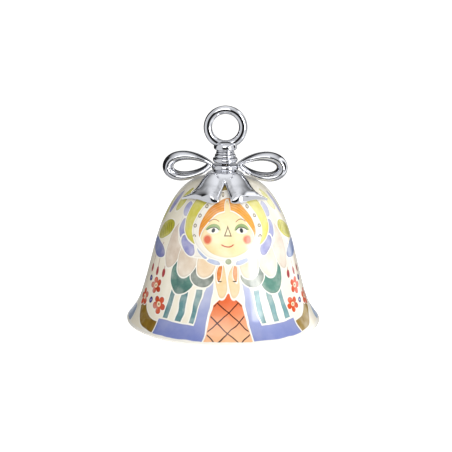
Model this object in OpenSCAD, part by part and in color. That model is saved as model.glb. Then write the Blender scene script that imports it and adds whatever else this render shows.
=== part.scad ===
// Porcelain hanging bell with a chrome-plated bow crown.
// +Z is up, the rim stands on Z = 0 and the bell's axis is the Z axis.
// The bow lies along X and the front of the bell faces -Y. All sizes are in millimetres.

/* [Porcelain shell] */
// Outer diameter of the flared rim
rim_d = 80; // [76:1:84]
// Wall thickness of the porcelain
wall = 2.4; // [2.0:0.1:2.8]
// Diameter of the hole in the crown that the stud passes through
crown_hole_d = 4.4; // [3.6:0.2:5.0]

/* [Hanging ring] */
// Outer diameter of the hanging ring
ring_d = 17.9; // [16:0.1:19]
// Diameter of the ring's round section
ring_wire_d = 3.5; // [3:0.1:4]

/* [Bow and tails] */
// Width of the bow over both loops
bow_span = 51.2; // [48:0.2:54]
// Height of each loop at its front and back edges
loop_height = 10.4; // [9.6:0.1:10.6]
// Width of the loops from front to back
ribbon_w = 6.8; // [6:0.2:8]
// Thickness of the loops at their front and back edges
ribbon_t = 1.5; // [1.3:0.1:1.7]
// Height that each loop's outer face bulges between its edges
ribbon_crown = 1.0; // [0.4:0.1:1.1]
// Thickness of the cast tails
tail_t = 1.6; // [1.2:0.1:2.0]
// Height that the tails' ends curl away from the porcelain
tail_curl = 1.2; // [0.5:0.1:2.0]

/* [Clapper] */
// Diameter of the clapper ball
ball_d = 14; // [12:0.5:15]
// Height of the ball's centre above the rim
ball_z = 12.5; // [10:0.5:16]
// Diameter of the wire that the jump ring and the clapper are bent from
clapper_wire_d = 1.1; // [0.9:0.1:1.2]

/* [Fixings] */
// Outside diameter of the threaded stud
stud_d = 3; // [3:0.1:3.1]
// Thickness of each cushioning washer that touches the porcelain
gasket_t = 0.5; // [0.4:0.1:0.7]
// Radial clearance of each hole on the stud
stud_clearance = 0.05; // [0.02:0.01:0.1]

/* [Hidden] */
$fn = 96;
eps = 0.01;

rim_r = rim_d / 2;
shell_h = 61;
lip_r = 1.1;
rim_flare_dir = [-0.62, 0.785];
waist = [0.84 * rim_r, 13];
waist_dir = [-0.284, 0.959];
shoulder = [0.5725 * rim_r, 48];
shoulder_dir = [-0.461, 0.887];
crown_land_r = 5;
curve_steps = 18;

stud_r = stud_d / 2;
hole_r = stud_r + stud_clearance;
eyelet_t = 0.4;
eyelet_r = 4.2;
loop_root_x = 4.9;
loop_sag = 1.4;
loop_steps = 48;
inner_crown = 1.3;
knot_r = 5.5;
knot_lower_h = 2.6;
knot_upper_h = 2.0;
bead_r = [4.3, 3.8, 3.7];
bead_h = [1.4, 1.0, 0.9];

// Heights of the stack that the stud clamps, from the porcelain upwards
tails_z = shell_h + gasket_t;
hub_h = 2.2;
knot_lower_z = tails_z + hub_h;
eyelet_left_z = knot_lower_z + knot_lower_h;
eyelet_right_z = eyelet_left_z + eyelet_t;
knot_upper_z = eyelet_right_z + eyelet_t;
loop_root_z = eyelet_right_z - 0.3;
collar_z = knot_upper_z + knot_upper_h;
neck_z = collar_z + bead_h[0] + bead_h[1] + bead_h[2];
neck_base_r = 4.75;
ring_r = (ring_d - ring_wire_d) / 2;
ring_z = neck_z + 0.2 + ring_d / 2;
stud_top_z = neck_z + 2.4;

// Heights of the fixings under the crown, downwards
washer_t = 0.6;
spring_t = 0.8;
nut_h = 2.0;
nut_flats = 5.5;
inner_top_z = shell_h - wall;
washer_z = inner_top_z - gasket_t - washer_t;
spring_z = washer_z - spring_t;
nut_z = spring_z - nut_h;

// The chain of the clapper, from the stud's eye downwards
link_play = 0.05;
eye_wire_r = 0.8;
eye_r = 2.2;
eye_z = nut_z - 0.4 - eye_r - eye_wire_r;
eye_pivot_z = eye_z - eye_r;
link_wire_r = clapper_wire_d / 2;
link_r = 2.4;
link_z = eye_pivot_z + eye_wire_r + link_wire_r + link_play - link_r;
link_pivot_z = link_z - link_r;
loop_r = 1.9;
loop_z = link_pivot_z + 2 * link_wire_r + link_play - loop_r;
ball_r = ball_d / 2;
ferrule_r = 1.5;
ferrule_h = 1.6;
wire_end_z = ball_z - ball_r - ferrule_h;

function bezier2(a, b, c, n) = [for (i = [0:n]) let (t = i / n) (1 - t) * (1 - t) * a + 2 * t * (1 - t) * b + t * t * c];

function bezier3(a, b, c, d, n) = [
    for (i = [0:n])
        let (t = i / n, u = 1 - t)
            u * u * u * a + 3 * u * u * t * b + 3 * u * t * t * c + t * t * t * d
];

function tail_of(points) = [for (i = [1:len(points) - 1]) points[i]];

function reversed(points) = [for (i = [len(points) - 1:-1:0]) points[i]];

// Unit normal of an open profile at point i, on the side away from the bell's axis
function outward(points, i) =
    let (
        a = points[max(i - 1, 0)],
        b = points[min(i + 1, len(points) - 1)],
        d = (b - a) / norm(b - a)
    ) [d[1], -d[0]];

// The porcelain's outer profile from the rim up to the flat land round the crown hole
outer_profile = concat(
    bezier3([rim_r, lip_r], [rim_r, lip_r] + 6 * rim_flare_dir, waist - 5 * waist_dir, waist, curve_steps),
    tail_of(bezier3(waist, waist + 15 * waist_dir, shoulder - 12 * shoulder_dir, shoulder, curve_steps)),
    tail_of(bezier3(
        shoulder, shoulder + 9 * shoulder_dir, [crown_land_r + 9, shell_h], [crown_land_r, shell_h], curve_steps
    ))
);

inner_profile = [
    for (i = [0:len(outer_profile) - 1])
        let (p = outer_profile[i] - wall * outward(outer_profile, i))
            if (p[1] > lip_r && p[0] > crown_land_r + eps) p
];

// Points of a quarter arc of radius r about c, from angle a0 to a1
function arc(c, r, a0, a1, n) = [for (i = [0:n]) let (a = a0 + (a1 - a0) * i / n) c + r * [cos(a), sin(a)]];

module bell_shell() {
    hole = crown_hole_d / 2;
    foot_in = inner_profile[0][0] + 0.7;
    color("ivory")
        rotate_extrude()
            polygon(concat(
                [[foot_in, 0]],
                arc([rim_r - lip_r, lip_r], lip_r, -90, 0, 6),
                tail_of(outer_profile),
                [[hole, shell_h], [hole, inner_top_z], [crown_land_r, inner_top_z]],
                reversed(inner_profile)
            ));
}

module flat_washer(z, t, r_out, r_in) {
    translate([0, 0, z])
        difference() {
            cylinder(h = t, r = r_out);
            translate([0, 0, -1]) cylinder(h = t + 2, r = r_in);
        }
}

module crown_gasket() {
    color("gainsboro") flat_washer(shell_h, gasket_t, crown_land_r, hole_r);
}

module inner_gasket() {
    color("gainsboro") flat_washer(inner_top_z - gasket_t, gasket_t, crown_land_r - 0.3, hole_r);
}

module steel_washer() {
    color("silver") flat_washer(washer_z, washer_t, 3.5, hole_r);
}

// A ring cut open at one side
module spring_washer() {
    color("dimgray")
        difference() {
            flat_washer(spring_z, spring_t, 2.9, hole_r);
            translate([1.2, -0.25, spring_z - 1]) cube([3, 0.5, spring_t + 2]);
        }
}

module hex_nut() {
    corner_r = nut_flats / 2 / cos(30);
    color("silver")
        translate([0, 0, nut_z])
            difference() {
                intersection() {
                    cylinder(h = nut_h, r = corner_r, $fn = 6);
                    cylinder(h = nut_h, r1 = nut_flats / 2 + 0.05, r2 = nut_flats / 2 + nut_h);
                }
                translate([0, 0, -1]) cylinder(h = nut_h + 2, r = hole_r);
            }
}

// Outline of the tails seen from above: a notch between two tails at the front, each with a concave hem
// between two points and a side that narrows to a wing, a channel under each loop and a round back edge
function tails_outline() =
    let (
        notch = [0, -11.4],
        front_point = [2.6, -20.3],
        side_point = [17.2, -12.7],
        wing = [8.2, -ribbon_w / 2 - 1.2],
        channel = [6.6, -ribbon_w / 2 - 0.6],
        right_tail = concat(
            [notch],
            bezier2(front_point, [8.4, -17.2], side_point, 8),
            tail_of(bezier3(side_point, [10.6, -14.2], [10.6, -9.5], wing, 10)),
            [channel]
        ),
        back_angle = atan2(-channel[1], channel[0]),
        back_edge = arc([0, 0], norm(channel), back_angle, 180 - back_angle, 16)
    ) concat(right_tail, back_edge, reversed(tail_of([for (p = right_tail) [-p[0], p[1]]])));

// The tails follow the dome, and they thin out and lift away from it towards their points
module ribbon_tails() {
    lift_from = 14;
    reach = 21.5;
    hub_r = 6.5;
    thin_from = 16;
    tip_t = 0.6;
    first = [for (i = [0:len(outer_profile) - 1]) if (outer_profile[i][0] < reach) i][0];
    function lift(r) = r > lift_from ? tail_curl * pow((r - lift_from) / 7, 2) : 0;
    function thickness(r) =
        r < hub_r ? hub_h
        : tail_t + (hub_h - tail_t) * exp((hub_r - r) / 3)
            - (tail_t - tip_t) * pow(max(0, r - thin_from) / (reach - thin_from), 2);
    function layer(top) = [
        for (i = [first:len(outer_profile) - 1])
            let (p = outer_profile[i])
                p + (gasket_t + lift(p[0]) + (top ? thickness(p[0]) : 0))
                    * (i == len(outer_profile) - 1 ? [0, 1] : outward(outer_profile, i))
    ];
    color("silver")
        intersection() {
            rotate_extrude()
                polygon(concat(
                    layer(false),
                    [[hole_r, tails_z], [hole_r, knot_lower_z]],
                    reversed(layer(true))
                ));
            translate([0, 0, shell_h / 2]) linear_extrude(height = shell_h) polygon(tails_outline());
        }
}

// One turn of the knot, a band with a rounded face
module knot_turn(z, h, r, bulge) {
    translate([0, 0, z])
        rotate_extrude()
            polygon(concat(
                [[hole_r, 0]],
                [for (i = [0:10]) let (a = -90 + 18 * i) [r - bulge + bulge * cos(a), h / 2 * (1 + sin(a))]],
                [[hole_r, h]]
            ));
}

module knot_lower_turn() {
    color("silver") knot_turn(knot_lower_z, knot_lower_h, knot_r, 0.9);
}

module knot_upper_turn() {
    color("silver") knot_turn(knot_upper_z, knot_upper_h, knot_r - 0.4, 0.8);
}

// Outline of a drop lying on its side: narrow end at x0, far end at x1, h high, sagging away from the knot
function drop(x0, x1, h) = [
    for (i = [0:loop_steps - 1])
        let (t = 360 * i / loop_steps, far = sin(t / 2))
            [
                x0 + (x1 - x0) * (1 - cos(t)) / 2,
                loop_root_z - loop_sag * far + h / 2 / 0.841 * sin(t) * pow(far, 0.6)
            ]
];

// Half the width of a loop at distance x from the axis: narrow at the knot
function half_width(x) = ribbon_w / 2 * (1 - 0.35 * pow(max(0, (11 - x) / 6), 2));

// One cross-section of a loop: flat front and back edges joined by two crowned faces
function loop_section(edge_out, mid_out, edge_in, mid_in) = concat(
    [
        for (k = [0:4])
            let (u = k / 2 - 1, p = edge_out + (mid_out - edge_out) * (1 - u * u))
                [p[0], u * half_width(p[0]), p[1]]
    ],
    [
        for (k = [0:4])
            let (u = 1 - k / 2, p = edge_in + (mid_in - edge_in) * (1 - u * u))
                [p[0], u * half_width(p[0]), p[1]]
    ]
);

// A closed ring through the cross-sections round the drop
module loop_ring() {
    x1 = bow_span / 2;
    edge_x1 = x1 - ribbon_crown - 0.2;
    edge_out = drop(loop_root_x, edge_x1, loop_height);
    mid_out = drop(loop_root_x, x1, loop_height + 2 * ribbon_crown);
    edge_in = drop(loop_root_x + 2.1, edge_x1 - ribbon_t, loop_height - 2 * ribbon_t);
    mid_in = drop(loop_root_x + 2.7, edge_x1 - ribbon_t - inner_crown - 0.5, loop_height - 2 * ribbon_t - 2 * inner_crown);
    points = [for (i = [0:loop_steps - 1]) each loop_section(edge_out[i], mid_out[i], edge_in[i], mid_in[i])];
    faces = [
        for (i = [0:loop_steps - 1], k = [0:9])
            let (
                a = i * 10 + k,
                b = i * 10 + (k + 1) % 10,
                c = (i + 1) % loop_steps * 10 + (k + 1) % 10,
                d = (i + 1) % loop_steps * 10 + k
            )
                each [[a, c, d], [a, b, c]]
    ];
    polyhedron(points, faces);
}

// A bow loop towards +X with the eyelet that the knot clamps
module bow_loop(eyelet_z) {
    difference() {
        loop_ring();
        translate([0, 0, loop_root_z - 10]) cylinder(h = 20, r = knot_r + 0.05);
    }
    difference() {
        translate([0, 0, eyelet_z])
            union() {
                cylinder(h = eyelet_t, r = eyelet_r);
                translate([0, -2, 0]) cube([loop_root_x + 1.9, 4, eyelet_t]);
            }
        translate([0, 0, eyelet_z - 1]) cylinder(h = eyelet_t + 2, r = hole_r);
    }
}

module bow_loop_right() {
    color("silver") bow_loop(eyelet_right_z);
}

module bow_loop_left() {
    color("silver") mirror([1, 0, 0]) bow_loop(eyelet_left_z);
}

// A turned spacer of four beads that shrink upwards
module beaded_collar() {
    groove = 0.55;
    function bead_z(i) = i == 0 ? 0 : bead_z(i - 1) + bead_h[i - 1];
    color("silver")
        translate([0, 0, collar_z])
            rotate_extrude()
                polygon(concat(
                    [[hole_r, 0]],
                    [
                        for (i = [0:len(bead_r) - 1], k = [0:6])
                            let (a = -90 + 30 * k)
                                [bead_r[i] - groove + groove * cos(a), bead_z(i) + bead_h[i] / 2 * (1 + 0.98 * sin(a))]
                    ],
                    [[hole_r, neck_z - collar_z]]
                ));
}

module torus(r, wire_r) {
    rotate_extrude() translate([r, 0]) circle(r = wire_r, $fn = 48);
}

// The ring stands in the XZ plane on a flared neck with a blind tapped hole
module hanger_ring() {
    color("silver")
        difference() {
            union() {
                translate([0, 0, ring_z]) rotate([90, 0, 0]) torus(ring_r, ring_wire_d / 2);
                translate([0, 0, neck_z])
                    rotate_extrude()
                        polygon([
                            [0, 0], [neck_base_r - 0.5, 0], [neck_base_r - 0.1, 0.3], [neck_base_r, 1],
                            [neck_base_r - 0.1, 1.8], [neck_base_r - 0.6, 2.3], [0, 3.3],
                        ]);
            }
            translate([0, 0, neck_z - 1]) cylinder(h = stud_top_z - neck_z + 1.2, r = hole_r);
        }
}

// Shank with rolled rings for the thread, and a closed eye in the XZ plane at its lower end
module eye_stud() {
    pitch = 0.5;
    shank_low_z = eye_z + eye_r;
    turns = floor((stud_top_z - nut_z) / pitch);
    thread = [for (i = [0:turns - 1], k = [0:1]) [stud_r - 0.25 * (1 - k), nut_z + pitch * (i + k / 2)]];
    color("silver") {
        rotate_extrude()
            polygon(concat(
                [[0, shank_low_z], [stud_r - 0.25, shank_low_z]],
                thread,
                [[stud_r - 0.25, stud_top_z], [0, stud_top_z]]
            ));
        translate([0, 0, eye_z]) rotate([90, 0, 0]) torus(eye_r, eye_wire_r);
    }
}

// A closed ring in the YZ plane, hanging in the stud's eye
module jump_ring() {
    color("silver") translate([0, 0, link_z]) rotate([0, 90, 0]) torus(link_r, link_wire_r);
}

// A loop in the XZ plane on a straight wire, with three wrapped turns that close the loop
module clapper_wire() {
    turns = 3;
    turn_h = 0.75;
    wrap_top_z = loop_z - loop_r + 0.2;
    wrap_r = link_wire_r + 0.45;
    color("silver") {
        translate([0, 0, loop_z]) rotate([90, 0, 0]) torus(loop_r, link_wire_r);
        translate([0, 0, wire_end_z]) cylinder(h = loop_z - loop_r - wire_end_z, r = link_wire_r);
        translate([0, 0, wrap_top_z - turns * turn_h])
            rotate_extrude()
                polygon(concat(
                    [[0, 0]],
                    [
                        for (i = [0:turns - 1], k = [0:4])
                            let (a = -90 + 45 * k)
                                [wrap_r - 0.3 + 0.3 * cos(a), turn_h * (i + 0.5 + 0.48 * sin(a))]
                    ],
                    [[0, turns * turn_h]]
                ));
    }
}

module clapper_ball() {
    color("silver")
        translate([0, 0, ball_z])
            difference() {
                sphere(r = ball_r);
                translate([0, 0, -ball_r - 1]) cylinder(h = 2 * ball_r + 2, r = link_wire_r + 0.03);
            }
}

// The crimped sleeve that keeps the ball on the wire
module ball_ferrule() {
    top = ball_z - ball_r * cos(asin(ferrule_r / ball_r));
    color("silver") flat_washer(wire_end_z + 0.1, top - wire_end_z - 0.35, ferrule_r, link_wire_r + 0.01);
}

bell_shell();
crown_gasket();
ribbon_tails();
knot_lower_turn();
bow_loop_left();
bow_loop_right();
knot_upper_turn();
beaded_collar();
hanger_ring();
eye_stud();
inner_gasket();
steel_washer();
spring_washer();
hex_nut();
jump_ring();
clapper_wire();
clapper_ball();
ball_ferrule();
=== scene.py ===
"""Porcelain hanging bell with a chrome-plated bow: the looks, built round the CAD frame.

Everything is in the CAD part's frame: +Z up, the rim on Z = 0, the painted front facing -Y, metres.
Profiles and decoration are written in millimetres and turned to metres by MM.
"""
from math import atan2, cos, exp, hypot, pi, radians, sin, sqrt

import bpy
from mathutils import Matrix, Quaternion, Vector
from mathutils.geometry import delaunay_2d_cdt


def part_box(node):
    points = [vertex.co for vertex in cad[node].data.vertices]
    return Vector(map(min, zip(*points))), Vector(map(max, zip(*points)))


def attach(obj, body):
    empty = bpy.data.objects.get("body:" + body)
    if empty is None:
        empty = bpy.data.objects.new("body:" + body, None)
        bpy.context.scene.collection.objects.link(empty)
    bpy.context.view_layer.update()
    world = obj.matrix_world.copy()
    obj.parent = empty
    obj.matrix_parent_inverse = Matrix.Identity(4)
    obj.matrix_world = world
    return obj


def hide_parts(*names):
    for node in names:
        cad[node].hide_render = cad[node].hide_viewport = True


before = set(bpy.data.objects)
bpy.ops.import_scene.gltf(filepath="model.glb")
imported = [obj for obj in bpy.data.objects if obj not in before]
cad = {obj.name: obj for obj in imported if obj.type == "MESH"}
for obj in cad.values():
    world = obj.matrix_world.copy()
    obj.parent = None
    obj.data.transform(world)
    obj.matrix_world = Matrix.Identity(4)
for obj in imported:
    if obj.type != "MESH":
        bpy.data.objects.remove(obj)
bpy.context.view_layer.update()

MM = 0.001
QUARTER = pi / 2
MERGE = 0.002


# ---------------------------------------------------------------- colours and nodes

def linear(hex_colour):
    """An sRGB hex value as a linear colour with alpha."""
    channels = [int(hex_colour[i:i + 2], 16) / 255 for i in (1, 3, 5)]
    return tuple(c / 12.92 if c <= 0.04045 else ((c + 0.055) / 1.055) ** 2.4 for c in channels) + (1.0,)


def add(tree, kind, links=None, **settings):
    """Adds a node with its settings and inputs, and returns its first output in use."""
    made = tree.nodes.new(kind)
    for name, value in settings.items():
        setattr(made, name, value)
    for socket, value in (links or {}).items():
        if isinstance(value, bpy.types.NodeSocket):
            tree.links.new(value, made.inputs[socket])
        else:
            made.inputs[socket].default_value = value
    return next((o for o in made.outputs if o.enabled), None)


def new_material(name):
    material = bpy.data.materials.new(name)
    material.use_nodes = True
    material.node_tree.nodes.clear()
    return material, material.node_tree


# ---------------------------------------------------------------- shaping

def bezier2(a, b, c, steps):
    rows = [i / steps for i in range(steps + 1)]
    return [tuple((1 - t) ** 2 * p + 2 * t * (1 - t) * q + t * t * r for p, q, r in zip(a, b, c)) for t in rows]


def bezier3(a, b, c, d, steps):
    rows = [i / steps for i in range(steps + 1)]
    return [
        tuple(
            (1 - t) ** 3 * p + 3 * (1 - t) ** 2 * t * q + 3 * (1 - t) * t * t * r + t ** 3 * s
            for p, q, r, s in zip(a, b, c, d)
        )
        for t in rows
    ]


def along(point, direction, distance):
    return tuple(p + d * distance for p, d in zip(point, direction))


def outward(profile, i):
    """Unit normal of an open profile at point i, away from the bell's axis."""
    a, b = profile[max(i - 1, 0)], profile[min(i + 1, len(profile) - 1)]
    length = hypot(b[0] - a[0], b[1] - a[1])
    return (b[1] - a[1]) / length, -(b[0] - a[0]) / length


def deselect():
    if bpy.context.object and bpy.context.object.mode != "OBJECT":
        bpy.ops.object.mode_set(mode="OBJECT")
    bpy.ops.object.select_all(action="DESELECT")


def select_only(piece):
    deselect()
    piece.select_set(True)
    bpy.context.view_layer.objects.active = piece


def apply_modifier(piece, kind, **settings):
    select_only(piece)
    modifier = piece.modifiers.new(kind.title(), kind)
    for name, value in settings.items():
        setattr(modifier, name, value)
    bpy.ops.object.modifier_apply(modifier=modifier.name)


def smooth(piece, angle):
    select_only(piece)
    bpy.ops.object.shade_smooth_by_angle(angle=radians(angle))


def turned(name, profile, segments=96, crease=40):
    """A closed profile of (radius, height) points turned round the bell's axis, ring after ring."""
    deselect()
    bpy.ops.mesh.primitive_circle_add(
        vertices=segments, radius=profile[0][0] * MM, location=(0, 0, profile[0][1] * MM)
    )
    piece = bpy.context.object
    piece.name = piece.data.name = name
    bpy.ops.object.transform_apply(location=True, rotation=True, scale=True)
    bpy.ops.object.mode_set(mode="EDIT")
    bpy.ops.mesh.select_all(action="SELECT")
    ring = profile[0]
    for radius, height in profile[1:] + profile[:1]:
        bpy.ops.mesh.extrude_region_move(TRANSFORM_OT_translate={"value": (0, 0, (height - ring[1]) * MM)})
        growth = radius / ring[0]
        bpy.ops.transform.resize(value=(growth, growth, 1), center_override=(0, 0, height * MM))
        ring = radius, height
    bpy.ops.mesh.select_all(action="SELECT")
    bpy.ops.mesh.remove_doubles(threshold=MERGE * MM)
    bpy.ops.mesh.normals_make_consistent(inside=False)
    bpy.ops.object.mode_set(mode="OBJECT")
    smooth(piece, crease)
    return piece


def from_points(name, points, faces):
    """A piece whose points are worked out one by one, in millimetres."""
    mesh = bpy.data.meshes.new(name)
    mesh.from_pydata([Vector(p) * MM for p in points], [], faces)
    piece = bpy.data.objects.new(name, mesh)
    bpy.context.scene.collection.objects.link(piece)
    select_only(piece)
    bpy.ops.object.mode_set(mode="EDIT")
    bpy.ops.mesh.select_all(action="SELECT")
    bpy.ops.mesh.normals_make_consistent(inside=False)
    bpy.ops.object.mode_set(mode="OBJECT")
    return piece


def finish_piece(piece, body, slot, *replaced):
    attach(piece, body)
    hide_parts(*replaced)


# ---------------------------------------------------------------- camera, floor and light
# The camera comes first: it stands at the front, a little above the bell.
TARGET = Vector((0, 0, 0.045))
CAMERA_DISTANCE = 0.9
CAMERA_HEIGHT_ANGLE = radians(13.82)
CAMERA_ROLL = radians(0.7)
LONG_LENS = 174.21
SHIFT = (0.00332, -0.02611)

camera_data = bpy.data.cameras.new("camera")
camera_data.sensor_width = 36
camera_data.lens = LONG_LENS
camera_data.shift_x, camera_data.shift_y = SHIFT
camera_data.clip_start = 0.05
camera = bpy.data.objects.new("camera", camera_data)
bpy.context.scene.collection.objects.link(camera)
camera.location = TARGET + CAMERA_DISTANCE * Vector((0, -cos(CAMERA_HEIGHT_ANGLE), sin(CAMERA_HEIGHT_ANGLE)))
aim = (TARGET - camera.location).to_track_quat("-Z", "Y") @ Quaternion((0, 0, 1), CAMERA_ROLL)
camera.rotation_euler = aim.to_euler()
bpy.context.scene.camera = camera
bpy.context.scene.view_settings.view_transform = "Standard"

world = bpy.data.worlds.new("white_studio")
world.use_nodes = True
world.node_tree.nodes.clear()
studio = world.node_tree
toward = add(studio, "ShaderNodeSeparateXYZ", {0: add(studio, "ShaderNodeTexCoord")}).node.outputs


def panel(axis, start, end, brightness, soft):
    """A band of light across the studio, between two values of the direction along an axis."""
    rise = add(studio, "ShaderNodeMapRange", {
        "Value": toward[axis], "From Min": start - soft, "From Max": start + soft, "To Max": brightness,
    })
    fall = add(studio, "ShaderNodeMapRange", {
        "Value": toward[axis], "From Min": end - soft, "From Max": end + soft, "To Min": 1.0, "To Max": 0.0,
    })
    return add(studio, "ShaderNodeMath", {0: rise, 1: fall}, operation="MULTIPLY")


# what the glaze and the chrome mirror: a tent of white cloth, open and dark at the camera's side
# and far round towards the back
DARK_ROOM = 0.018
mirrored = None
for band in (
    panel("Y", -0.85, 0.12, 0.82, 0.04),  # cloth down both sides
    panel("X", 0.62, 0.82, 1.5, 0.06),  # a brighter strip at the right
    panel("Z", 0.80, 2.0, 1.2, 0.20),  # cloth overhead
    panel("Y", 0.93, 2.0, 0.45, 0.03),  # cloth behind
    panel("Z", -2.0, -0.42, 0.40, 0.08),  # the pale floor
):
    if mirrored is None:
        mirrored = band
    else:
        mirrored = add(studio, "ShaderNodeMath", {0: mirrored, 1: band}, operation="MAXIMUM")
mirrored = add(studio, "ShaderNodeMath", {0: mirrored, 1: DARK_ROOM}, operation="ADD")
room = add(studio, "ShaderNodeBackground", {"Color": (0.97, 0.98, 1.0, 1), "Strength": mirrored})
backdrop = add(studio, "ShaderNodeBackground", {"Color": (1, 1, 1, 1), "Strength": 1.02})
from_left = add(studio, "ShaderNodeMapRange", {
    "Value": toward["X"], "From Min": -0.9, "From Max": 0.7, "To Min": 0.22, "To Max": 0.74,
})
daylight = add(studio, "ShaderNodeBackground", {"Color": (1.0, 0.985, 0.96, 1), "Strength": from_left})
rays = add(studio, "ShaderNodeLightPath").node.outputs
seen = add(studio, "ShaderNodeMixShader", {0: rays["Is Diffuse Ray"], 1: backdrop, 2: daylight})
seen = add(studio, "ShaderNodeMixShader", {0: rays["Is Glossy Ray"], 1: seen, 2: room})
add(studio, "ShaderNodeOutputWorld", {"Surface": seen})
bpy.context.scene.world = world


def studio_light(name, place, size, power):
    light = bpy.data.lights.new(name, "AREA")
    light.shape = "RECTANGLE"
    light.size, light.size_y = size
    light.energy = power
    lamp = bpy.data.objects.new(name, light)
    lamp.location = place
    lamp.rotation_euler = (TARGET - Vector(place)).to_track_quat("-Z", "Y").to_euler()
    bpy.context.scene.collection.objects.link(lamp)


studio_light("tall_softbox_right", (0.56, -0.52, 0.12), (0.2, 0.5), 2.9)
studio_light("soft_front", (-0.10, -0.75, 0.55), (0.5, 0.5), 1.9)

FLOOR_WIDTH, FLOOR_GAP = 6, 0.0001
deselect()
bpy.ops.mesh.primitive_plane_add(size=FLOOR_WIDTH, location=(0, 0, -FLOOR_GAP))
floor = bpy.context.object
floor.name = "white_floor"
floor.visible_glossy = False
floor_material, tree = new_material("white_paper_floor")
paper = add(tree, "ShaderNodeBsdfPrincipled", {
    "Base Color": (0.95, 0.95, 0.95, 1), "Roughness": 0.9, "Specular IOR Level": 0.1,
    "Emission Color": (1, 1, 1, 1), "Emission Strength": 0.56,
})
# seen from under it, the floor is clear, so that the clapper shows
from_below = add(tree, "ShaderNodeNewGeometry").node.outputs["Backfacing"]
sheer = add(tree, "ShaderNodeMixShader", {0: from_below, 1: paper, 2: add(tree, "ShaderNodeBsdfTransparent")})
add(tree, "ShaderNodeOutputMaterial", {"Surface": sheer})
floor.data.materials.append(floor_material)


# ---------------------------------------------------------------- metals and rubber

def polished_metal(name, colour, roughness, smear, grain_mm, grain_depth_mm):
    """A plated metal: a slight cloud of polishing smears in its roughness and a fine grain in its surface."""
    material, tree = new_material(name)
    place = add(tree, "ShaderNodeTexCoord").node.outputs["Object"]
    cloud = add(tree, "ShaderNodeTexNoise", {"Vector": place, "Scale": 1 / (6 * MM), "Detail": 3.0})
    rough = add(tree, "ShaderNodeMapRange", {
        "Value": cloud, "From Min": 0.3, "From Max": 0.7, "To Min": roughness, "To Max": roughness + smear,
    })
    grain = add(tree, "ShaderNodeTexNoise", {"Vector": place, "Scale": 1 / (grain_mm * MM), "Detail": 2.0})
    relief = add(tree, "ShaderNodeBump", {"Strength": 1.0, "Distance": grain_depth_mm * MM, "Height": grain})
    tone = add(tree, "ShaderNodeMix", {
        0: cloud, 6: linear(colour), 7: tuple(0.93 * c for c in linear(colour)[:3]) + (1.0,),
    }, data_type="RGBA")
    surface = add(tree, "ShaderNodeBsdfPrincipled", {
        "Base Color": tone, "Metallic": 1.0, "Roughness": rough, "Normal": relief,
    })
    add(tree, "ShaderNodeOutputMaterial", {"Surface": surface})
    return material


# Bright chrome plating on cast zinc, buffed: a mirror with soft smears and the faintest casting ripple
chrome_plated_zinc = polished_metal("chrome_plated_zinc_buffed", "#DCDDE1", 0.03, 0.05, 3.0, 0.003)
# Chrome plating on a ground steel ball: an even mirror
chrome_plated_ball = polished_metal("chrome_plated_steel_ball_ground", "#D6D7DB", 0.05, 0.05, 0.8, 0.0015)
# Nickel plating on drawn steel wire and pressed parts: warmer and less sharp than chrome
nickel_plated_steel = polished_metal("nickel_plated_steel_drawn", "#C2BFB8", 0.16, 0.10, 0.25, 0.004)
# Hardened spring steel, oil-blackened: dark with a dull shine
blackened_spring_steel = polished_metal("spring_steel_oil_blackened", "#5A5B5E", 0.30, 0.12, 0.2, 0.005)

# Silicone rubber, moulded: milky, half matt, with a fine mould grain
silicone_rubber, tree = new_material("silicone_rubber_moulded")
place = add(tree, "ShaderNodeTexCoord").node.outputs["Object"]
grain = add(tree, "ShaderNodeTexNoise", {"Vector": place, "Scale": 1 / (0.3 * MM), "Detail": 3.0})
relief = add(tree, "ShaderNodeBump", {"Strength": 0.5, "Distance": 0.02 * MM, "Height": grain})
milky = add(tree, "ShaderNodeMix", {0: grain, 6: linear("#DAD9D2"), 7: linear("#C9C8C0")}, data_type="RGBA")
surface = add(tree, "ShaderNodeBsdfPrincipled", {
    "Base Color": milky, "Roughness": 0.48, "Normal": relief, "IOR": 1.42, "Transmission Weight": 0.15,
})
add(tree, "ShaderNodeOutputMaterial", {"Surface": surface})


# ---------------------------------------------------------------- painted porcelain
# Glazed porcelain, slip-cast and hand-painted: flat washes of colour with bare glaze between them, under a deep
# clear gloss. The pattern is laid out on the unrolled bell: across, the angle from the front times MAP_RADIUS;
# up, the height. Both in millimetres. The same figure is painted on the back.
MAP_RADIUS = 28.0
FIGURE_CENTRE = 1.5
HALF_TURN = pi * MAP_RADIUS / 2
ACROSS_SWAY, UP_SWAY = 1.7, 1.5
GLAZE_WHITE = linear("#F7F4EB")
BRUSH_GAP = 0.46


def glaze(tree, colour, place):
    """The clear gloss over the colour, with the slight ripple of a dipped glaze."""
    ripple = add(tree, "ShaderNodeTexNoise", {"Vector": place, "Scale": 1 / (7 * MM), "Detail": 1.5})
    relief = add(tree, "ShaderNodeBump", {"Strength": 0.6, "Distance": 0.05 * MM, "Height": ripple})
    surface = add(tree, "ShaderNodeBsdfPrincipled", {
        "Base Color": colour, "Roughness": 0.4, "IOR": 1.5, "Specular IOR Level": 0.2, "Coat Weight": 1.0,
        "Coat Roughness": 0.12, "Coat IOR": 1.45, "Coat Normal": relief, "Normal": relief,
    })
    add(tree, "ShaderNodeOutputMaterial", {"Surface": surface})


plain_porcelain, tree = new_material("porcelain_white_glazed")
place = add(tree, "ShaderNodeTexCoord").node.outputs["Object"]
cloud = add(tree, "ShaderNodeTexNoise", {"Vector": place, "Scale": 1 / (12 * MM), "Detail": 2.0})
body_white = add(tree, "ShaderNodeMix", {
    0: cloud, 6: linear("#F2EFE8"), 7: linear("#E9E6DD"),
}, data_type="RGBA")
glaze(tree, body_white, place)

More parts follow.
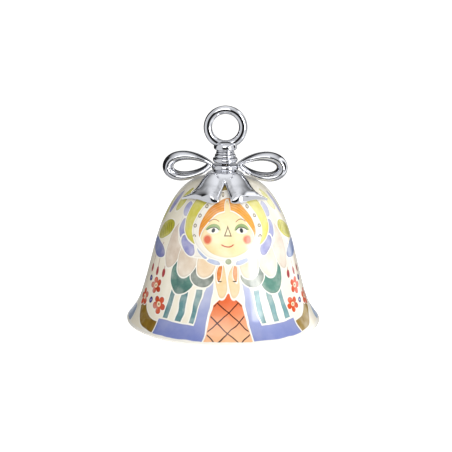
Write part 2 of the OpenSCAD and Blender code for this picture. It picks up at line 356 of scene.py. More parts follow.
painted_porcelain, art = new_material("porcelain_hand_painted_glazed")
place = add(art, "ShaderNodeTexCoord").node.outputs["Object"]
axes = add(art, "ShaderNodeSeparateXYZ", {0: place}).node
# the painter's hand: every outline sways a little
hand = add(art, "ShaderNodeTexNoise", {"Vector": place, "Scale": 1 / (8 * MM), "Detail": 1.0})
hand = hand.node.outputs["Color"]
sway = add(art, "ShaderNodeVectorMath", {0: hand, 1: (0.5, 0.5, 0.5)}, operation="SUBTRACT")
sway = add(art, "ShaderNodeSeparateXYZ", {0: sway}).node
front = add(art, "ShaderNodeMath", {0: axes.outputs["Y"], 1: -1.0}, operation="MULTIPLY")
bearing = add(art, "ShaderNodeMath", {0: axes.outputs["X"], 1: front}, operation="ARCTAN2")
across = add(art, "ShaderNodeMath", {0: bearing, 1: MAP_RADIUS, 2: -FIGURE_CENTRE}, operation="MULTIPLY_ADD")
across = add(art, "ShaderNodeMath", {0: across, 1: HALF_TURN, 2: -HALF_TURN}, operation="WRAP")
# painted light: 0 at the figure's left, 1 at its right, so that every colour is painted paler towards the right
painted_light_right = add(art, "ShaderNodeMapRange", {"Value": across, "From Min": -14.0, "From Max": 12.0})
across = add(art, "ShaderNodeMath", {0: sway.outputs["X"], 1: ACROSS_SWAY, 2: across}, operation="MULTIPLY_ADD")
apart = add(art, "ShaderNodeMath", {0: across}, operation="ABSOLUTE")
height = add(art, "ShaderNodeMath", {0: axes.outputs["Z"], 1: 1 / MM}, operation="MULTIPLY")
height = add(art, "ShaderNodeMath", {0: sway.outputs["Y"], 1: UP_SWAY, 2: height}, operation="MULTIPLY_ADD")
spot = add(art, "ShaderNodeCombineXYZ", {0: apart, 1: height})
# the watercolour: pools and thin places in every coat of colour, mixed with painted light that makes each
# colour paler towards the right
water = add(art, "ShaderNodeTexNoise", {
    "Vector": place, "Scale": 1 / (5.0 * MM), "Detail": 3.0, "Roughness": 0.55,
})
water = add(art, "ShaderNodeMapRange", {"Value": water, "From Min": 0.30, "From Max": 0.70})
wash_and_painted_light = add(art, "ShaderNodeMix", {0: 0.42, 2: water, 3: painted_light_right})
bloom = add(art, "ShaderNodeTexNoise", {
    "Vector": place, "Scale": 1 / (6.5 * MM), "Detail": 3.0, "Roughness": 0.5,
})
thin = add(art, "ShaderNodeMapRange", {"Value": bloom, "From Min": 0.45, "From Max": 0.72, "To Max": 0.34})


def oval(centre, radii, turn=0.0):
    """Distance in mm outside an oval on the map, negative inside it."""
    c, s = cos(radians(turn)), sin(radians(turn))
    rows = (c / radii[0], s / radii[0], 0), (-s / radii[1], c / radii[1], 0)
    start = tuple(-row[0] * centre[0] - row[1] * centre[1] for row in rows) + (0,)
    long, short = (
        add(art, "ShaderNodeVectorMath", {0: spot, 1: row}, operation="DOT_PRODUCT").node.outputs["Value"]
        for row in rows
    )
    local = add(art, "ShaderNodeCombineXYZ", {0: long, 1: short})
    local = add(art, "ShaderNodeVectorMath", {0: local, 1: start}, operation="ADD")
    reach = add(art, "ShaderNodeVectorMath", {0: local}, operation="LENGTH").node.outputs["Value"]
    size = sqrt(radii[0] * radii[1])
    return add(art, "ShaderNodeMath", {0: reach, 1: size, 2: -size}, operation="MULTIPLY_ADD")


def around(centre, stretch=(1, 1)):
    """Angle round a centre on the map and distance from it, measured on a map stretched by stretch."""
    scale = (1 / stretch[0], 1 / stretch[1], 0)
    start = (-centre[0] * scale[0], -centre[1] * scale[1], 0)
    local = add(art, "ShaderNodeVectorMath", {0: spot, 1: scale, 2: start}, operation="MULTIPLY_ADD")
    reach = add(art, "ShaderNodeVectorMath", {0: local}, operation="LENGTH").node.outputs["Value"]
    x, y = (
        add(art, "ShaderNodeVectorMath", {0: local, 1: axis}, operation="DOT_PRODUCT").node.outputs["Value"]
        for axis in ((1, 0, 0), (0, 1, 0))
    )
    return add(art, "ShaderNodeMath", {0: y, 1: x}, operation="ARCTAN2"), reach


def slope(start, end):
    """Distance in mm to the right of the line from start up to end."""
    length = hypot(end[0] - start[0], end[1] - start[1])
    normal = (end[1] - start[1]) / length, -(end[0] - start[0]) / length
    offset = -(start[0] * normal[0] + start[1] * normal[1])
    dot = add(art, "ShaderNodeVectorMath", {0: spot, 1: (*normal, 0)}, operation="DOT_PRODUCT")
    dot = dot.node.outputs["Value"]
    return add(art, "ShaderNodeMath", {0: dot, 1: offset}, operation="ADD")


def both(*edges):
    """The part that lies inside all of the shapes."""
    shape = edges[0]
    for edge in edges[1:]:
        shape = add(art, "ShaderNodeMath", {0: shape, 1: edge}, operation="MAXIMUM")
    return shape


def flip(edge):
    """The outside of a shape."""
    return add(art, "ShaderNodeMath", {0: edge, 1: -1.0}, operation="MULTIPLY")


def outline(edge, half_width):
    """A line of a given width along a shape's edge."""
    gap = add(art, "ShaderNodeMath", {0: edge}, operation="ABSOLUTE")
    return add(art, "ShaderNodeMath", {0: gap, 1: half_width}, operation="SUBTRACT")


def repeated(value, step, phase=0.0):
    """A value folded into repeats of step, measured from the middle of each."""
    moved = add(art, "ShaderNodeMath", {0: value, 1: phase}, operation="SUBTRACT")
    return add(art, "ShaderNodeMath", {0: moved, 1: step / 2, 2: -step / 2}, operation="WRAP")


def stroke(canvas, edge, colour, soft=0.09, strength=1.0):
    """A brush line or dot with no bare gap round it."""
    ink = add(art, "ShaderNodeMapRange", {
        "Value": edge, "From Min": -soft, "From Max": soft, "To Min": strength, "To Max": 0.0,
    })
    paint = colour if isinstance(colour, bpy.types.NodeSocket) else linear(colour)
    return add(art, "ShaderNodeMix", {0: ink, 6: canvas, 7: paint}, data_type="RGBA")


def fill(canvas, edge, deep, pale):
    """A coat of colour inside a shape, with a thin gap of bare glaze round it; its tone runs from deep to pale
    with the watercolour's pools and with painted light, paler towards the right.
    """
    bare = add(art, "ShaderNodeMapRange", {
        "Value": edge, "From Min": BRUSH_GAP - 0.1, "From Max": BRUSH_GAP + 0.1, "To Min": 1.0, "To Max": 0.0,
    })
    canvas = add(art, "ShaderNodeMix", {0: bare, 6: canvas, 7: GLAZE_WHITE}, data_type="RGBA")
    # deep at the left and pale at the right as painted light, on top of the watercolour's pools
    paint = add(art, "ShaderNodeMix", {0: wash_and_painted_light, 6: linear(deep), 7: linear(pale)}, data_type="RGBA")
    paint = add(art, "ShaderNodeMix", {0: thin, 6: paint, 7: GLAZE_WHITE}, data_type="RGBA")
    # the wash pools a little darker along its edge
    pool = add(art, "ShaderNodeMapRange", {
        "Value": edge, "From Min": -0.7, "From Max": 0.0, "To Min": 0.0, "To Max": 0.15,
    })
    paint = add(art, "ShaderNodeMix", {0: pool, 6: paint, 7: linear("#4A3A34")}, data_type="RGBA")
    cover = add(art, "ShaderNodeMapRange", {
        "Value": edge, "From Min": -0.08, "From Max": 0.08, "To Min": 1.0, "To Max": 0.0,
    })
    return add(art, "ShaderNodeMix", {0: cover, 6: canvas, 7: paint}, data_type="RGBA")


def graded(low, low_colour, high, high_colour):
    """A colour that changes with height, for a long stretch of paint."""
    level = add(art, "ShaderNodeMapRange", {"Value": height, "From Min": low, "From Max": high})
    return add(art, "ShaderNodeMix", {
        0: level, 6: linear(low_colour), 7: linear(high_colour),
    }, data_type="RGBA")


def flower(canvas, centre, size, turn):
    """Five petals round a pale centre with dark seeds."""
    angle, reach = around(centre)
    angle = add(art, "ShaderNodeMath", {0: angle, 1: 2.5, 2: radians(turn)}, operation="MULTIPLY_ADD")
    lobes = add(art, "ShaderNodeMath", {0: angle}, operation="COSINE")
    lobes = add(art, "ShaderNodeMath", {0: lobes}, operation="ABSOLUTE")
    lobes = add(art, "ShaderNodeMath", {0: lobes, 1: 0.5}, operation="POWER")
    lobes = add(art, "ShaderNodeMath", {0: lobes, 1: 0.60 * size, 2: 0.42 * size}, operation="MULTIPLY_ADD")
    petals = add(art, "ShaderNodeMath", {0: reach, 1: lobes}, operation="SUBTRACT")
    canvas = fill(canvas, petals, "#C04A26", "#EA6428")
    heart = add(art, "ShaderNodeMath", {0: reach, 1: 0.30 * size}, operation="SUBTRACT")
    canvas = stroke(canvas, heart, "#F3E4C4")
    seed = add(art, "ShaderNodeMath", {0: reach, 1: 0.10 * size}, operation="SUBTRACT")
    return stroke(canvas, seed, "#8A3A22")


# the bare ground, painted paler towards the right as painted light
canvas = add(art, "ShaderNodeMix", {0: wash_and_painted_light, 6: linear("#F0EAD8"), 7: linear("#F8F3E6")}, data_type="RGBA")

# the side fields: a gold garland, flowers, berries on threads, leaves and hills
garland = outline(oval((24.5, 18.2), (14.2, 14.2)), 2.0)
garland = both(garland, slope((50, 13.5), (22, 13.5)), flip(slope((24.4, 0), (24.4, 28))))
canvas = fill(canvas, garland, "#84651B", "#A88E3C")
canvas = fill(canvas, oval((44.0, 2.0), (5.2, 5.0)), "#7C93B8", "#9DB4CE")
threads = repeated(apart, 4.75, 27.4)
threads = outline(threads, 0.17)
threads = both(threads, slope((20, 25.5), (50, 25.5)), slope((50, 36), (20, 36)))
threads = both(threads, slope((25, 50), (25, 0)), slope((39.5, 0), (39.5, 50)))
canvas = stroke(canvas, threads, "#B98A86")
for berry in (27.4, 32.15, 36.9):
    canvas = stroke(canvas, oval((berry, 24.6), (0.95, 1.75)), "#B0444A")
for middle, size, turn in (((30.6, 18.9), 3.5, 20), ((26.2, 12.3), 3.4, 70), ((37.4, 12.2), 3.3, 0)):
    canvas = flower(canvas, middle, size, turn)
for bud in ((35.9, 20.6), (31.7, 12.6), (43.98, 17.5)):
    canvas = stroke(canvas, oval(bud, (1.2, 1.25)), "#42387E")
    canvas = stroke(canvas, oval(bud, (0.42, 0.42)), "#B9B2DC")
canvas = fill(canvas, oval((36.5, 33.2), (7.4, 3.0), 14), "#7E7CB4", "#93A8CC")
canvas = fill(canvas, oval((34.0, 41.2), (6.6, 3.5), -24), "#B3AE3A", "#DDD873")
veins = outline(repeated(slope((20, 30), (33, 50)), 1.5), 0.15)
canvas = stroke(canvas, both(veins, oval((34.0, 41.2), (5.6, 2.3), -24)), "#7C7A2A")
canvas = fill(canvas, oval((43.98, 47.5), (3.6, 6.0)), "#B9B440", "#DEDA80")
canvas = fill(canvas, oval((30.2, 53.4), (2.6, 4.6), 18), "#C4BE54", "#E9E6A4")
canvas = fill(canvas, oval((36.8, 51.6), (2.2, 4.6), 10), "#9C9CCB", "#CFD1E6")

# the robe: teal stripes, a blue-violet border down the front and along the hem
stripes = outline(repeated(slope((11.9, 7.0), (10.3, 21.5)), 4.95), 1.08)
stripes = both(stripes, flip(slope((8.6, 0), (7.6, 28))), slope((24.6, 0), (22.9, 28)))
stripes = both(stripes, slope((50, 21), (0, 21)), slope((0, 7.9), (50, 7.9)))
canvas = fill(canvas, stripes, "#4A7F84", "#86B0B4")
border = both(flip(slope((7.6, 0), (4.9, 28))), slope((12.2, 0), (8.7, 20)), slope((9.9, 17), (4.9, 29)))
hem = both(flip(slope((7.5, 0), (5.1, 28))), slope((24.8, 0), (24.2, 10)), slope((50, 7.2), (0, 7.2)))
edging = add(art, "ShaderNodeMath", {0: border, 1: hem}, operation="MINIMUM")
canvas = fill(canvas, edging, "#7C88C0", "#A6AFD8")
fade = graded(3.0, "#7A87C3", 24.0, "#D6D9E8")
canvas = stroke(canvas, edging, fade, strength=0.7)

# the apron: a terracotta panel with a diamond lattice
apron = both(slope((7.4, 0), (4.4, 19)), slope((5.4, 15.0), (0.0, 20.2)))
terracotta = graded(3.0, "#F3C59A", 18.0, "#E0602C")
canvas = fill(canvas, apron, "#E9884E", "#F0A878")
canvas = stroke(canvas, apron, terracotta, strength=0.8)
lattice_right = outline(repeated(slope((0.0, 12.7), (6.9, 20.4)), 5.14), 0.2)
lattice_left = outline(repeated(slope((0.0, 12.7), (-6.9, 20.4)), 5.14), 0.2)
lattice = add(art, "ShaderNodeMath", {0: lattice_right, 1: lattice_left}, operation="MINIMUM")
inside_apron = add(art, "ShaderNodeMath", {0: apron, 1: 0.25}, operation="ADD")
canvas = stroke(canvas, both(lattice, inside_apron), "#4A1A10", soft=0.07)

# folded arms with plaits over them
canvas = fill(canvas, oval((2.4, 24.9), (2.1, 6.7), -3), "#E5C692", "#F4DFB8")
canvas = fill(canvas, oval((3.0, 27.9), (0.9, 3.2), 6), "#DB7F40", "#EDAA62")
canvas = stroke(canvas, oval((2.75, 24.7), (0.75, 0.22)), "#4B2A1C")

# under the shawl and the shawl's scallops
for centre, radii, turn, deep, pale in (
    ((17.2, 27.4), (5.6, 9.2), 10, "#3A6A64", "#6E9F90"),
    ((9.6, 26.6), (4.4, 4.6), 6, "#36473F", "#B4BEB6"),
    ((24.2, 37.0), (4.3, 9.8), 10, "#D3C0AC", "#F3EADF"),
    ((16.7, 33.2), (4.3, 8.2), 7, "#DAC8B2", "#F5EEE2"),
    ((8.4, 32.0), (4.0, 6.2), 5, "#E8CCA6", "#F6EAD6"),
):
    canvas = fill(canvas, oval(centre, radii, turn), deep, pale)

# the headscarf: a lilac band in petals, a lime crescent, an ochre patch at the top
# and a white frill with pearls
canvas = fill(canvas, oval((11.6, 47.0), (13.2, 13.4)), "#EFEADF", "#F6F3EA")
for centre, radii, turn, deep, pale in (
    ((23.1, 50.9), (2.5, 2.9), 0, "#A9ABD2", "#D5D7EA"), ((21.8, 43.6), (2.1, 3.7), -12, "#8B8CC6", "#BCC0E0"),
    ((17.6, 37.6), (2.3, 4.6), -44, "#7C7DBE", "#C3C6E3"),
):
    canvas = fill(canvas, oval(centre, radii, turn), deep, pale)
canvas = fill(canvas, oval((12.6, 48.3), (9.0, 10.3)), "#C8C03C", "#EBE588")
canvas = fill(canvas, oval((0, 60.2), (6.0, 2.5)), "#86701E", "#B69C36")
for centre, radii, turn in (((5.9, 32.6), (3.2, 1.15), 24), ((10.6, 35.4), (2.9, 1.2), 38)):
    canvas = fill(canvas, oval(centre, radii, turn), "#A9B8D6", "#DDE0EC")
canvas = fill(canvas, oval((0, 45.2), (16.5, 12.5)), "#EFEBE0", "#F8F6F0")
FRILL_R, PEARL_ROW, PEARL_R = 13.4, 14.1, 0.62
angle, reach = around((0, 44.5), (15.0, 12.0))
each = repeated(angle, radians(19), radians(4))
round_it = add(art, "ShaderNodeMath", {0: each, 1: FRILL_R}, operation="MULTIPLY")
out_of_it = add(art, "ShaderNodeMath", {0: reach, 1: FRILL_R, 2: -PEARL_ROW}, operation="MULTIPLY_ADD")
pearl = add(art, "ShaderNodeCombineXYZ", {0: round_it, 1: out_of_it})
pearl = add(art, "ShaderNodeVectorMath", {0: pearl}, operation="LENGTH").node.outputs["Value"]
pearl = add(art, "ShaderNodeMath", {0: pearl, 1: PEARL_R}, operation="SUBTRACT")
above_chin = slope((0, 41), (50, 41))
canvas = stroke(canvas, both(pearl, above_chin), "#E4DCC8")
canvas = stroke(canvas, both(outline(pearl, 0.14), above_chin), "#6E6459")

# the head: combed hair with a parting, and a calm doll's face of our own
canvas = fill(canvas, oval((0, 45.0), (13.4, 10.9)), "#E08E2C", "#F5B848")
strands = outline(repeated(oval((0, 36.0), (13.0, 13.0)), 0.9), 0.1)
canvas = stroke(canvas, both(strands, oval((0, 45.0), (13.0, 10.5))), "#B9682A", strength=0.5)
forehead = oval((0, 40.0), (12.0, 11.3))
parting = oval((0, 51.2), (1.5, 4.2))
skin = add(art, "ShaderNodeMath", {0: forehead, 1: parting}, operation="MINIMUM")
skin = both(skin, oval((0, 44.6), (12.9, 10.6)))
canvas = fill(canvas, skin, "#F1D9A2", "#FAEBC2")
canvas = stroke(canvas, oval((8.7, 40.6), (1.75, 1.75)), "#DD5F3E", soft=0.5, strength=0.9)
lid = both(oval((6.7, 43.9), (3.5, 3.0)), slope((0, 44.3), (50, 44.3)))
canvas = stroke(canvas, lid, "#9DB37C")
canvas = stroke(canvas, oval((6.7, 44.2), (2.7, 1.25)), "#F4F0E4")
canvas = stroke(canvas, oval((6.6, 44.3), (0.78, 0.9)), "#2B3236")
lash = outline(oval((6.7, 42.9), (3.2, 2.6)), 0.17)
canvas = stroke(canvas, both(lash, slope((0, 44.4), (50, 44.4))), "#3A3A34")
brow = outline(oval((6.7, 44.0), (4.2, 4.6)), 0.14)
canvas = stroke(canvas, both(brow, slope((0, 47.7), (50, 47.7))), "#A9703A")
nose = both(slope((1.35, 42.2), (0.0, 45.8)), slope((0, 42.2), (50, 42.2)))
canvas = stroke(canvas, outline(nose, 0.2), "#6B5432")
mouth = both(outline(oval((0, 41.0), (3.4, 3.1)), 0.24), slope((50, 38.9), (0, 38.9)))
canvas = stroke(canvas, mouth, "#C4604A")
canvas = fill(canvas, oval((0, 32.4), (1.15, 1.15)), "#93A083", "#BFC7A6")

# the colours deepen under the glaze in the kiln
canvas = add(art, "ShaderNodeGamma", {"Color": canvas, "Gamma": 1.14})

# the plain white lip
canvas = stroke(canvas, slope((50, 1.9), (0, 1.9)), "#F3F0E8")
glaze(art, canvas, place)


# ---------------------------------------------------------------- the bell
RIM_R, SHELL_H, LIP_R, WALL, LAND_R, HOLE_R = 40.0, 61.0, 1.1, 2.4, 5.0, 2.2
WAIST, WAIST_DIR = (33.6, 13.0), (-0.284, 0.959)
SHOULDER, SHOULDER_DIR = (22.9, 48.0), (-0.461, 0.887)
FOOT_FLAT, FOOT_ROUND, HOLE_EDGE = 1.3, (0.75, 0.25), 0.2
lip = (RIM_R, LIP_R)
dome = (
    bezier3(lip, along(lip, (-0.62, 0.785), 6), along(WAIST, WAIST_DIR, -5), WAIST, 20)
    + bezier3(WAIST, along(WAIST, WAIST_DIR, 15), along(SHOULDER, SHOULDER_DIR, -12), SHOULDER, 30)[1:]
    + bezier3(SHOULDER, along(SHOULDER, SHOULDER_DIR, 9), (LAND_R + 9, SHELL_H), (LAND_R, SHELL_H), 40)[1:]
)
inner = [along(p, outward(dome, i), -WALL) for i, p in enumerate(dome)]
inner = [p for p in inner if p[1] > LIP_R and p[0] > LAND_R]
foot = [
    (RIM_R - LIP_R + LIP_R * cos(a), LIP_R + LIP_R * sin(a))
    for a in [radians(-90 + 10 * k) for k in range(9)]
]
inner_foot = inner[0][0]
bell = turned(
    "porcelain_bell",
    [(inner_foot + FOOT_FLAT, 0.0)] + foot + dome
    + [(HOLE_R + HOLE_EDGE, SHELL_H), (HOLE_R, SHELL_H - HOLE_EDGE)]
    + [(HOLE_R, SHELL_H - WALL), (LAND_R, SHELL_H - WALL)]
    + inner[::-1] + [(inner_foot + 0.05, FOOT_ROUND[0]), (inner_foot + 0.35, FOOT_ROUND[1])],
    segments=224,
)
bell.data.materials.append(painted_porcelain)
bell.data.materials.append(plain_porcelain)
for face in bell.data.polygons:
    radial = face.normal.x * face.center.x + face.normal.y * face.center.y
    if radial < -0.02 * face.center.xy.length or face.normal.z < -0.9:
        face.material_index = 1
finish_piece(bell, "bell", "porcelain", "bell_shell")


# ---------------------------------------------------------------- ring, collar and knot
BORE_R = 1.55


def height_of(node):
    """The lowest and highest height of a CAD node, in millimetres."""
    low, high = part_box(node)
    return low.z / MM, high.z / MM


ring_low, ring_high = height_of("hanger_ring")
RING_TUBE_R = 1.75
ring_r = (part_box("hanger_ring")[1].x / MM) - RING_TUBE_R
deselect()
bpy.ops.mesh.primitive_torus_add(
    major_radius=ring_r * MM, minor_radius=RING_TUBE_R * MM, major_segments=160, minor_segments=48,
    location=(0, 0, (ring_high - RING_TUBE_R - ring_r) * MM), rotation=(QUARTER, 0, 0),
)
ring = bpy.context.object
ring.name = ring.data.name = "hanging_ring"
bpy.ops.object.transform_apply(location=True, rotation=True, scale=True)
neck = turned("ring_neck", [(BORE_R, ring_low)] + [
    (radius, ring_low + rise) for radius, rise in (
        (4.2, 0.0), (4.5, 0.1), (4.68, 0.35), (4.75, 0.75), (4.74, 1.2), (4.66, 1.65), (4.5, 2.05), (4.25, 2.4),
        (3.9, 2.7), (3.45, 2.95), (2.9, 3.15), (2.3, 3.3), (BORE_R, 3.4),
    )
])
apply_modifier(ring, "BOOLEAN", operation="UNION", solver="EXACT", object=neck)
bpy.data.objects.remove(neck)
smooth(ring, 42)
ring.data.materials.append(chrome_plated_zinc)
finish_piece(ring, "bell", "chrome_bow", "hanger_ring")

collar_low, collar_high = height_of("beaded_collar")
GROOVE = 0.55
bead_profile = [(BORE_R, collar_low)]
bead_low = collar_low
for bead_r, bead_h in ((4.3, 1.4), (3.8, 1.0), (3.7, 0.9)):
    bead_profile += [
        (bead_r - GROOVE + GROOVE * cos(radians(a)), bead_low + bead_h / 2 * (1 + 0.98 * sin(radians(a))))
        for a in range(-90, 91, 12)
    ]
    bead_low += bead_h
collar = turned("beaded_collar_turned", bead_profile + [(BORE_R, collar_high)], crease=50)
collar.data.materials.append(chrome_plated_zinc)
finish_piece(collar, "bell", "chrome_bow", "beaded_collar")

for turn_name, node, radius, bulge in (
    ("knot_band_lower", "knot_lower_turn", 5.5, 0.9), ("knot_band_upper", "knot_upper_turn", 5.1, 0.8),
):
    low, high = height_of(node)
    band = [(BORE_R, low)] + [
        (radius - bulge + bulge * cos(radians(a)), (low + high) / 2 + (high - low) / 2 * sin(radians(a)))
        for a in range(-90, 91, 10)
    ] + [(BORE_R, high)]
    knot = turned(turn_name, band, crease=50)
    knot.data.materials.append(chrome_plated_zinc)
    finish_piece(knot, "bell", "chrome_bow", node)


# ---------------------------------------------------------------- bow loops
# Each loop's section changes all the way round, which the operators can't follow,
# so its rings are placed by code.
LOOP_ROOT_X, LOOP_FAR_X, LOOP_HIGH = 4.9, 25.6, 10.4
LOOP_EDGE, LOOP_CROWN, INNER_CROWN, RIBBON_W = 1.5, 1.0, 1.3, 6.8
DROP_HEIGHT = 0.841
NARROWING, FULL_WIDTH_X = 0.35, 11
TIP_GAP, INNER_ROOT, INNER_ROOT_CROWN, INNER_TIP = 0.2, 2.1, 2.7, 0.5
LOOP_STEPS, ACROSS = 112, 12
EDGE_START, EDGE_STEPS = radians(38), 10
LOOP_SAG = 1.4
loop_root_z = height_of("knot_upper_turn")[0] - 0.7


def drop(x0, x1, high):
    """A drop lying on its side, narrow at x0, that sags away from the knot."""
    points = []
    for i in range(LOOP_STEPS):
        t = 2 * pi * i / LOOP_STEPS
        far = sin(t / 2)
        points.append((x0 + (x1 - x0) * (1 - cos(t)) / 2,
                       loop_root_z - LOOP_SAG * far + high / 2 / DROP_HEIGHT * sin(t) * far ** 0.6))
    return points


def ribbon_half(x):
    """Half the ribbon's width, which narrows towards the knot."""
    return RIBBON_W / 2 * (1 - NARROWING * max(0, (FULL_WIDTH_X - x) / 6) ** 2)


edge_far = LOOP_FAR_X - LOOP_CROWN - TIP_GAP
edge_out = drop(LOOP_ROOT_X, edge_far, LOOP_HIGH)
mid_out = drop(LOOP_ROOT_X, LOOP_FAR_X, LOOP_HIGH + 2 * LOOP_CROWN)
edge_in = drop(LOOP_ROOT_X + INNER_ROOT, edge_far - LOOP_EDGE, LOOP_HIGH - 2 * LOOP_EDGE)
mid_in = drop(
    LOOP_ROOT_X + INNER_ROOT_CROWN, edge_far - LOOP_EDGE - INNER_CROWN - INNER_TIP,
    LOOP_HIGH - 2 * LOOP_EDGE - 2 * INNER_CROWN,
)
for loop_name, node, hand_side in (("bow_loop_cast_right", "bow_loop_right", 1),
                                   ("bow_loop_cast_left", "bow_loop_left", -1)):
    points, faces = [], []
    for i in range(LOOP_STEPS):
        (outer_x, outer_z), (inner_x, inner_z) = edge_out[i], edge_in[i]
        reach = hypot(outer_x - inner_x, outer_z - inner_z) / 2 / cos(EDGE_START)
        flat_half = ribbon_half(outer_x) - reach * (1 - sin(EDGE_START))
        section = []
        for edge, middle, way in ((edge_out[i], mid_out[i], 1), (edge_in[i], mid_in[i], -1)):
            # the ribbon's crowned face, then its rounded edge
            for k in range(ACROSS + 1):
                u = way * (2 * k / ACROSS - 1)
                x, z = (e + (m - e) * (1 - u * u) for e, m in zip(edge, middle))
                section.append((hand_side * x, u * flat_half, z))
            for k in range(1, EDGE_STEPS):
                a = EDGE_START + (pi - 2 * EDGE_START) * k / EDGE_STEPS
                share = way * cos(a) / cos(EDGE_START)
                x, z = ((o + n) / 2 + share * (o - n) / 2 for o, n in zip(edge_out[i], edge_in[i]))
                section.append((hand_side * x, way * (flat_half + reach * (sin(a) - sin(EDGE_START))), z))
        points += section
    count = len(section)
    for i in range(LOOP_STEPS):
        for k in range(count):
            a, b = i * count + k, i * count + (k + 1) % count
            c, d = ((i + 1) % LOOP_STEPS) * count + (k + 1) % count, ((i + 1) % LOOP_STEPS) * count + k
            faces.append((a, b, c, d))
    loop = from_points(loop_name, points, faces)
    smooth(loop, 50)
    loop.data.materials.append(chrome_plated_zinc)
    finish_piece(loop, "bell", "chrome_bow", node)


# ---------------------------------------------------------------- ribbon tails
# A swelling sheet with a pointed outline lies over the dome, which the operators can't follow either.
GASKET_T, HUB_T, KNOT_R, TAIL_T, TIP_T = 0.5, 2.2, 5.5, 1.5, 0.6
CURL, CURL_FROM, THIN_FROM, REACH = 1.2, 14, 16, 21.5
EDGE_T, ROUNDING, LEAST_T = 0.5, 4.2, 0.35
SHOULDER_T, SHOULDER_R, SHOULDER_W = 1.9, 9.2, 3.2
LIP_T, LIP_X, LIP_W, LIP_FROM = 1.5, 6.4, 3.0, 13.5
FOLD_DEPTH, FOLD_W = 0.7, 2.0
BUFFING = 30
dome_rows = [(p[0], p[1], *outward(dome, i)) for i, p in enumerate(dome)]
dome_rows[-1] = (LAND_R, SHELL_H, 0.0, 1.0)
dome_rows.append((0.0, SHELL_H, 0.0, 1.0))


def over_dome(x, y, lift):
    """The point over (x, y) that stands lift above the porcelain."""
    r = hypot(x, y)
    foot_r, row = r, None
    # a few rounds find the spot on the porcelain that (x, y) stands out from
    for _ in range(4):
        for upper, lower in zip(dome_rows, dome_rows[1:]):
            if lower[0] <= foot_r <= upper[0]:
                t = (foot_r - lower[0]) / max(upper[0] - lower[0], 1e-9)
                row = [l + (u - l) * t for l, u in zip(lower, upper)]
                break
        foot_r = max(r - lift * row[2], 0.0)
    return x, y, row[1] + lift * row[3]


def tail_lift(r):
    """How far the tails' underside stands off the porcelain: on the gasket, then curling up at the hem."""
    return GASKET_T + (CURL * ((r - CURL_FROM) / 7) ** 2 if r > CURL_FROM else 0)


def edge_thickness(x, y):
    """Thin at the points and sides, rolled over in a thick lip along the middle of each hem."""
    reach = min(max((hypot(x, y) - LIP_FROM) / 3, 0), 1) if y < 0 else 0
    return EDGE_T + LIP_T * exp(-((abs(x) - LIP_X) / LIP_W) ** 2) * reach


def tail_thickness(x, y, from_edge):
    """Thick at the shoulder under the knot, thin at the points, round at the edges, with a middle fold."""
    r = hypot(x, y)
    ahead = min(max((-y / max(r, 1) - 0.35) / 0.3, 0), 1)
    full = TAIL_T + SHOULDER_T * ahead * exp(-((r - SHOULDER_R) / SHOULDER_W) ** 2)
    full += (HUB_T - TAIL_T) * exp(min(KNOT_R - r, 0) / 3)
    full -= (TAIL_T - TIP_T) * (max(0, r - THIN_FROM) / (REACH - THIN_FROM)) ** 2
    thin = edge_thickness(x, y)
    full = max(full, thin + LEAST_T)
    share = min(from_edge / ROUNDING, 1)
    fold = FOLD_DEPTH * exp(-(x / FOLD_W) ** 2) * min(max((r - KNOT_R - 2) / 3, 0), 1) if y < 0 else 0
    return max(thin + (full - thin) * sqrt(1 - (1 - share) ** 2) - fold, LEAST_T)


WING, CHANNEL = (8.2, -RIBBON_W / 2 - 1.2), (6.6, -RIBBON_W / 2 - 0.6)
right_tail = (
    [(0.0, -11.4)]
    + bezier2((0.0, -11.4), (1.45, -15.8), (2.6, -20.3), 24)[1:]
    + bezier3((2.6, -20.3), (7.2, -20.9), (9.4, -17.0), (17.2, -12.7), 40)[1:]
    + bezier3((17.2, -12.7), (10.6, -14.2), (10.6, -9.5), WING, 40)[1:]
    + bezier2(WING, (7.5, -4.1), CHANNEL, 6)[1:]
)
back_r = hypot(*CHANNEL)
back_from = atan2(-CHANNEL[1], CHANNEL[0])
back = [
    (back_r * cos(a), back_r * sin(a))
    for a in [atan2(CHANNEL[1], CHANNEL[0]) + (pi + 2 * back_from) * k / 64 for k in range(1, 64)]
]
left_tail = [(-x, y) for x, y in right_tail[:0:-1]]
rim_line = right_tail + back + left_tail
rim_count = len(rim_line)


def rim_normal(i):
    (ax, ay), (bx, by) = rim_line[i - 1], rim_line[(i + 1) % rim_count]
    length = hypot(bx - ax, by - ay) or 1
    return (by - ay) / length, -(bx - ax) / length


def from_rim(x, y):
    """Distance to the tails' outline."""
    best = 1e9
    for (ax, ay), (bx, by) in zip(rim_line, rim_line[1:] + rim_line[:1]):
        dx, dy = bx - ax, by - ay
        t = min(max(((x - ax) * dx + (y - ay) * dy) / (dx * dx + dy * dy), 0), 1)
        best = min(best, hypot(x - ax - t * dx, y - ay - t * dy))
    return best


def inside_rim(x, y):
    crossings = 0
    for (ax, ay), (bx, by) in zip(rim_line, rim_line[1:] + rim_line[:1]):
        if (ay > y) != (by > y) and x < (bx - ax) * (y - ay) / (by - ay) + ax:
            crossings += 1
    return crossings % 2 == 1


